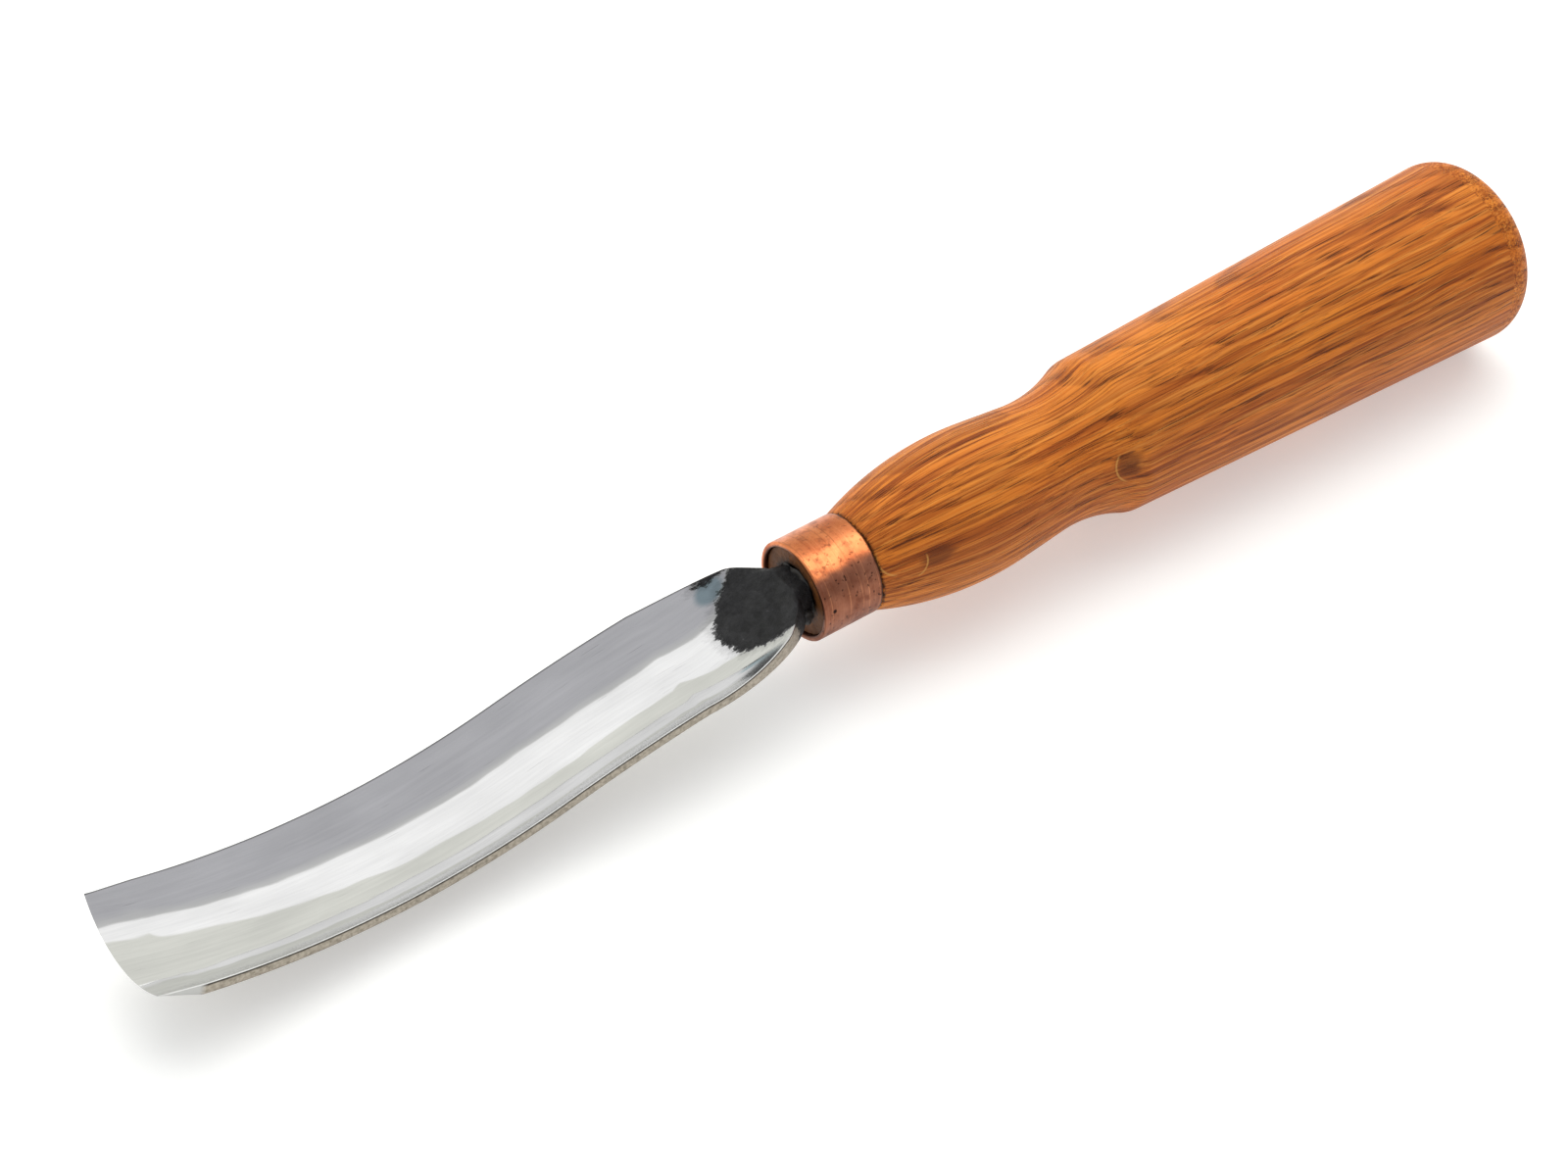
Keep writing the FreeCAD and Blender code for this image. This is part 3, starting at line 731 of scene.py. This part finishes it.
# black forge scale covers the neck, and ends on the channel in a round patch, with a crescent at the far rim
SCALE_CENTRE = (-2.8 * MM, 0.4 * MM)
SCALE_SIZE = (10.8 * MM, 8.4 * MM)
SCALE_FULL = (-3.5 * MM, -1.5 * MM)
FAR_SCALE = (-6.2 * MM, 9.8 * MM, 0.0)
FAR_SCALE_SIZE = (5.2 * MM, 1.3 * MM, 8.0 * MM)
# the steel ran hot beside the scale, which left a blue-grey tint
HEAT_TINT = (-10.6 * MM, 8.0 * MM, -1.0 * MM)
HEAT_SIZE = (3.0 * MM, 1.9 * MM, 6.0 * MM)
POLISHED_RELIEF = 0.0019 * MM
GROUND_RELIEF = 0.006 * MM
SCALE_RELIEF = 0.4 * MM


def scale_reach(tree, place):
    """How deep a place lies inside the patch of black forge scale round the neck, with a brushed edge."""
    x, y, _ = split(tree, place)
    ragged = speckle(tree, scaled(tree, place, (520, 1500, 1500)), 4.0, 0.72)
    uneven = speckle(tree, scaled(tree, place, (170, 170, 170)), 1.0)
    share_x = calc(tree, "DIVIDE", calc(tree, "SUBTRACT", x, SCALE_CENTRE[0]), SCALE_SIZE[0])
    share_y = calc(tree, "DIVIDE", calc(tree, "SUBTRACT", y, SCALE_CENTRE[1]), SCALE_SIZE[1])
    crescent = near_spot(tree, place, FAR_SCALE, FAR_SCALE_SIZE)
    reach = calc(tree, "MINIMUM", hypotenuse(tree, share_x, share_y),
                 calc(tree, "MULTIPLY_ADD", crescent, 0.3, 0.7))
    inside = calc(tree, "ADD", calc(tree, "SUBTRACT", 1.0, reach), centred(tree, ragged, 0.34))
    inside = calc(tree, "ADD", inside, centred(tree, uneven, 0.25))
    return calc(tree, "MAXIMUM", inside, remap(tree, x, *SCALE_FULL, -1.0, 1.0))


def polished_channel(tree, place, sheet, kept, lines):
    """Nearly a mirror, drawn lengthwise: its colour, roughness, relief and the relief's depth."""
    strokes = speckle(tree, scaled(tree, sheet, (55, 1500, 1)), 3.0, 0.62)
    scratches = speckle(tree, scaled(tree, sheet, (120, 5200, 1)), 1.0)
    scratch = remap(tree, scratches, 0.72, 0.77, smooth=True)
    cloud = speckle(tree, scaled(tree, sheet, (60, 170, 1)), 3.0)
    tone = blend(tree, remap(tree, cloud, 0.3, 0.7), colour(236, 236, 236), colour(222, 222, 222))
    tone = blend(tree, remap(tree, strokes, 0.35, 0.65, 0.0, 0.14), tone, colour(170, 170, 172))
    tone = blend(tree, calc(tree, "MULTIPLY", scratch, 0.3), tone, colour(120, 118, 116))
    # a painted dark reflection: a thin dark line along the far rim of the channel
    far_rim_dark_reflection = calc(tree, "MULTIPLY", remap(tree, kept["inside"], 0.26 * MM, 0.12 * MM),
                   remap(tree, kept["across"], 0.0, 1 * MM))
    tone = blend(tree, calc(tree, "MULTIPLY", far_rim_dark_reflection, 0.72), tone, colour(62, 60, 58))
    heat = remap(tree, near_spot(tree, place, HEAT_TINT, HEAT_SIZE), 1.1, 0.6, 0.0, 0.75, smooth=True)
    tone = blend(tree, heat, tone, colour(128, 158, 166))
    # the polish is duller towards the rims
    rough = calc(tree, "ADD", remap(tree, lines, 0.3, 0.7, 0.035, 0.075),
                 remap(tree, kept["inside"], 3.4 * MM, 1.2 * MM, 0.0, 0.13))
    relief = calc(tree, "ADD", calc(tree, "MULTIPLY", lines, 0.2), strokes)
    relief = calc(tree, "ADD", relief, calc(tree, "MULTIPLY", scratch, -0.3))
    return tone, rough, relief, POLISHED_RELIEF


def ground_side(tree, place, _sheet, kept, lines):
    """Warm grey, gritty sides, with a brighter bevel and a painted dark reflection in a line just under the
    rim.
    """
    grit = speckle(tree, scaled(tree, place, (1900, 1900, 1900)), 3.0, 0.7)
    tone = blend(tree, remap(tree, grit, 0.38, 0.62), colour(176, 167, 153), colour(140, 132, 119))
    tone = blend(tree, remap(tree, grit, 0.64, 0.72, 0.0, 0.6), tone, colour(90, 83, 74))
    # painted reflection: a dark line just under the rim, where the rounded edge would mirror the dark room
    line = calc(tree, "MULTIPLY", remap(tree, kept["below"], 0.7 * MM, 0.5 * MM), 0.9)
    tone = blend(tree, line, tone, colour(48, 44, 40))
    bevel = remap(tree, kept["along"], BEVEL_LENGTH + 0.2 * MM, BEVEL_LENGTH - 1 * MM)
    tone = blend(tree, bevel, tone, colour(178, 178, 176))
    rough = calc(tree, "MULTIPLY_ADD", bevel, -0.22, remap(tree, grit, 0.3, 0.7, 0.32, 0.46))
    return tone, rough, calc(tree, "ADD", lines, grit), GROUND_RELIEF


def steel_material(name, face):
    """Tool steel with the given face, and black, cratered forge scale round the neck, with painted glints on
    its palest flakes.
    """
    material, tree, surface = new_material(name)
    place = tool_coordinates(tree)
    kept = {word: node(tree, "ShaderNodeAttribute", attribute_name=word).outputs["Fac"]
            for word in ("along", "across", "inside", "below")}
    sheet = node(tree, "ShaderNodeCombineXYZ", {"X": kept["along"], "Y": kept["across"], "Z": 0.0}).outputs[0]
    lines = speckle(tree, scaled(tree, sheet, (70, 4200, 1)), 3.0, 0.6)
    tone, rough, relief, depth = face(tree, place, sheet, kept, lines)

    depth_in = scale_reach(tree, place)
    scale = remap(tree, depth_in, -0.02, 0.04, smooth=True)
    flakes = speckle(tree, scaled(tree, place, (700, 700, 700)), 6.0, 0.72)
    hammer = speckle(tree, scaled(tree, place, (230, 330, 330)), 2.0)
    scale_with_glints = blend(tree, remap(tree, flakes, 0.42, 0.62), colour(3, 3, 4), colour(30, 30, 32))
    # the palest flakes are painted glints of highlight on the black scale
    scale_with_glints = blend(tree, remap(tree, flakes, 0.65, 0.73, 0.0, 0.6), scale_with_glints, colour(104, 104, 107))
    haze = remap(tree, depth_in, -0.17, -0.02, 0.0, 0.3)
    tone = blend(tree, haze, tone, colour(70, 70, 72))
    put(tree, surface.inputs["Base Color"], blend(tree, scale, tone, scale_with_glints))
    put(tree, surface.inputs["Metallic"], remap(tree, scale, 0.0, 1.0, 1.0, 0.0))
    crust_rough = remap(tree, hammer, 0.38, 0.62, 0.6, 0.3)
    put(tree, surface.inputs["Roughness"], remap(tree, scale, 0.0, 1.0, rough, crust_rough))
    fine = bump(tree, relief, depth, 1.0)
    crag = calc(tree, "ADD", flakes, calc(tree, "MULTIPLY", hammer, 1.6))
    heavy = bump(tree, calc(tree, "MULTIPLY", crag, scale), SCALE_RELIEF, 1.0, fine)
    put(tree, surface.inputs["Normal"], heavy)
    return material


# ---------------------------------------------------------------- bedding and floor


def bedding_material():
    """Dark set epoxy, lumpy and dull, with painted glints on its high lumps."""
    material, tree, surface = new_material("dark_bedding")
    lumps = speckle(tree, scaled(tree, tool_coordinates(tree), (900, 900, 900)), 4.0, 0.6)
    # the high lumps are painted paler, as glints on the dark epoxy
    put(tree, surface.inputs["Base Color"],
        blend(tree, remap(tree, lumps, 0.35, 0.75), colour(9, 8, 7), colour(62, 57, 52)))
    put(tree, surface.inputs["Roughness"], remap(tree, lumps, 0.3, 0.7, 0.45, 0.75))
    put(tree, surface.inputs["Normal"], bump(tree, lumps, 0.2 * MM, 0.7))
    return material


def floor_material():
    """White table top, lit a little from within so that it stays clean white."""
    material, tree, surface = new_material("white_table")
    place = node(tree, "ShaderNodeTexCoord").outputs["Object"]
    tooth = speckle(tree, scaled(tree, place, (900, 900, 900)), 3.0)
    put(tree, surface.inputs["Base Color"],
        blend(tree, tooth, colour(224, 225, 223), colour(218, 219, 217)))
    surface.inputs["Roughness"].default_value = 0.9
    surface.inputs["Specular IOR Level"].default_value = 0.1
    surface.inputs["Emission Color"].default_value = (1.0, 1.0, 0.995, 1.0)
    surface.inputs["Emission Strength"].default_value = 0.37
    return material


# ---------------------------------------------------------------- pieces

SHARP_TURNING = 40
HANDLE_SIDES = 224
FERRULE_SIDES = 200

oak = oak_material()
copper = copper_material()
polished_steel = steel_material("polished_steel", polished_channel)
ground_steel = steel_material("ground_steel", ground_side)
bedding = bedding_material()

blade = make_blade(polished_steel, ground_steel)
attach(blade, "root")
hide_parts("blade")

handle = lathe("handle_turning", handle_outline(), HANDLE_SIDES, [oak])
sharpen(handle, SHARP_TURNING)
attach(handle, "root")
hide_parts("handle")


def ferrule_outline():
    """The tube's section, with rounded rims: along the bore to the mouth, round it, and back outside."""
    inner = FERRULE_RADIUS - FERRULE_WALL
    front = 0.28 * MM
    rear = 0.2 * MM
    outline = [(x, inner) for x in np.linspace(FERRULE_LENGTH - rear, front, 10)]
    outline += arc_points((front, inner + front), front, -math.pi / 2, -math.pi, 5)[1:]
    outline += arc_points((front, FERRULE_RADIUS - front), front, math.pi, math.pi / 2, 6)
    outline += [(x, FERRULE_RADIUS) for x in np.linspace(front, FERRULE_LENGTH - rear, 40)[1:]]
    outline += arc_points((FERRULE_LENGTH - rear, FERRULE_RADIUS - rear), rear, math.pi / 2, 0.0, 5)[1:]
    outline += [(FERRULE_LENGTH, inner + CHAMFER)]
    return outline


ferrule = lathe("ferrule_tube", ferrule_outline(), FERRULE_SIDES, [copper], closed=True)
sharpen(ferrule, SHARP_TURNING)
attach(ferrule, "root")
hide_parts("ferrule")

# the bead of bedding: its radii, how far it stands out of the tenon's face, and how unevenly
BEAD_INNER = 3.4 * MM
BEAD_OUTER = 4.7 * MM
BEAD_RISE = 0.5 * MM
BEAD_WAVE = 0.7 * MM
BEAD_RISE_WAVE = 0.3 * MM
BEAD_SEAT = 0.05 * MM
# the waves round the bead: how many there are, and the phase of each
BEAD_SINES = ((2, 0.7), (3, 2.1), (5, 4.0), (8, 1.3))
BLOB_RADIUS = 1.3 * MM
BLOB_CENTRE = (-1.2 * MM, -5.0 * MM, -0.5 * MM)


def bead_mesh(around=120, across=10):
    """A closed ring of bedding round the neck, pressed against the tenon's face, uneven all round."""
    turn = np.linspace(0, math.tau, around, endpoint=False)
    swell = sum(np.sin(k * turn + phase) for k, phase in BEAD_SINES) / len(BEAD_SINES)
    points, faces = [], []
    for share in np.linspace(0, 1, across):
        radius = BEAD_INNER + (BEAD_OUTER - BEAD_INNER + BEAD_WAVE * swell) * share
        # it stands up over most of its width, and its outer rim is tucked into the wood
        profile = math.sin(math.pi * min(share * 1.15, 1.0)) ** 0.7
        rise = (BEAD_RISE + BEAD_RISE_WAVE * np.roll(swell, 9)) * profile
        for angle, r, up in zip(turn, radius, rise):
            points.append(tool_point(TENON_FRONT + BEAD_SEAT - up, r * math.cos(angle), r * math.sin(angle)))
    for row in range(across):
        a, b = row * around, (row + 1) % across * around
        for i in range(around):
            j = (i + 1) % around
            faces.append((a + i, a + j, b + j, b + i))
    return points, faces


def blob_mesh():
    """One closed, lumpy blob of bedding, stuck to the near side of the neck."""
    ball = bmesh.new()
    bmesh.ops.create_icosphere(ball, subdivisions=5, radius=1.0)
    ball.verts.index_update()
    points = []
    for corner in ball.verts:
        x, y, z = corner.co
        knob = 1 + 0.15 * math.sin(3 * x + 2 * z) * math.cos(4 * y) + 0.08 * math.sin(7 * y + 5 * z)
        points.append(tool_point(*(c + BLOB_RADIUS * knob * d for c, d in zip(BLOB_CENTRE, (x, y, z)))))
    faces = [tuple(corner.index for corner in face.verts) for face in ball.faces]
    ball.free()
    return points, faces


def make_squeeze_out():
    """Hardened bedding pressed out round the neck."""
    points, faces = bead_mesh()
    blob_points, blob_faces = blob_mesh()
    faces += [tuple(len(points) + corner for corner in face) for face in blob_faces]
    return make_object("bedding_squeeze_out", points + blob_points, faces, [bedding])


squeeze_out = make_squeeze_out()
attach(squeeze_out, "root")

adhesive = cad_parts["tang_adhesive"]
adhesive.data.materials.clear()
adhesive.data.materials.append(bedding)

# ---------------------------------------------------------------- floor, light and camera

FLOOR_SIZE = 6.0
bpy.ops.mesh.primitive_plane_add(size=FLOOR_SIZE, location=(0, 0, 0))
floor = bpy.context.object
floor.name = "table_top"
floor.data.materials.append(floor_material())

ROOM_NEAR = (0.52, 0.52, 0.545, 1.0)
ROOM_FAR = (0.83, 0.835, 0.775, 1.0)
PANEL_LIGHT = (1.1, 1.1, 1.095, 1.0)


def studio_world():
    """A pale room, darker behind the camera, with a large light panel overhead on the far side.

    The panel's edges are given as slopes: how far a direction leans along X or Y for each unit upwards.
    """
    world = bpy.data.worlds.new("studio")
    world.use_nodes = True
    tree = world.node_tree
    tree.nodes.clear()
    x, y, z = split(tree, node(tree, "ShaderNodeTexCoord").outputs["Generated"])
    above = calc(tree, "MAXIMUM", z, 0.02)
    slope_x = calc(tree, "DIVIDE", x, above)
    slope_y = calc(tree, "DIVIDE", y, above)
    near_edge = remap(tree, slope_y, 0.06, 0.10)
    far_edge = remap(tree, calc(tree, "MULTIPLY_ADD", slope_x, 0.75, slope_y), 1.42, 1.34)
    panel = calc(tree, "MULTIPLY", near_edge, far_edge)
    panel = calc(tree, "MULTIPLY", panel, remap(tree, slope_x, 1.8, 1.6))
    panel = calc(tree, "MULTIPLY", panel, remap(tree, slope_x, -2.2, -1.2))
    room = blend(tree, remap(tree, y, -0.1, 0.3), ROOM_NEAR, ROOM_FAR)
    tone = blend(tree, panel, room, PANEL_LIGHT)
    background = node(tree, "ShaderNodeBackground", {"Color": tone, "Strength": 1.0})
    output = tree.nodes.new("ShaderNodeOutputWorld")
    tree.links.new(background.outputs[0], output.inputs["Surface"])
    bpy.context.scene.world = world


studio_world()


def aim(thing, target, roll=0.0):
    """Turn a lamp or a camera to look at a point, rolled about its line of sight."""
    direction = Vector(target) - thing.location
    turn = direction.to_track_quat("-Z", "Y").to_matrix().to_4x4()
    thing.matrix_world = Matrix.Translation(thing.location) @ turn @ Matrix.Rotation(roll, 4, "Z")


def softbox(name, place, target, width, height, power, tint):
    """A soft rectangular lamp that doesn't show in reflections."""
    lamp = bpy.data.lights.new(name, "AREA")
    lamp.shape = "RECTANGLE"
    lamp.size = width
    lamp.size_y = height
    lamp.energy = power
    lamp.color = tint
    piece = bpy.data.objects.new(name, lamp)
    bpy.context.scene.collection.objects.link(piece)
    piece.location = place
    piece.visible_glossy = False
    aim(piece, target)
    return piece


def light_only(lamp, *pieces):
    """Let a lamp shine on these pieces alone, and show in their reflections."""
    lit = bpy.data.collections.new(lamp.name + "_lit")
    for piece in pieces:
        lit.objects.link(piece)
    lamp.light_linking.receiver_collection = lit
    lamp.visible_glossy = True


# a small box whose reflection makes the bright band along the ferrule, and a large soft key light
ferrule_light = softbox(
    "ferrule_softbox", place=(0.27, -0.09, 0.58), target=(-0.01, 0, 0.02),
    width=0.5, height=0.5, power=1.6, tint=(1.0, 0.97, 0.93))
light_only(ferrule_light, ferrule)
softbox(
    "key_softbox", place=(0.5, 0.5, 1.45), target=(0, 0, 0),
    width=2.2, height=1.8, power=23.0, tint=(1.0, 0.99, 0.97))

LENS = 69.4
SENSOR = 36.0
CAMERA_PLACE = (-0.2194, -0.2577, 0.3614)
CAMERA_TARGET = (-0.0061, 0.0142, 0.0)
CAMERA_ROLL = math.radians(2.27)

camera_data = bpy.data.cameras.new("view_camera")
camera_data.lens = LENS
camera_data.sensor_width = SENSOR
camera_data.clip_start = 0.01
camera = bpy.data.objects.new("view_camera", camera_data)
bpy.context.scene.collection.objects.link(camera)
camera.location = CAMERA_PLACE
aim(camera, CAMERA_TARGET, CAMERA_ROLL)
bpy.context.scene.camera = camera
bpy.context.scene.view_settings.view_transform = "Standard"
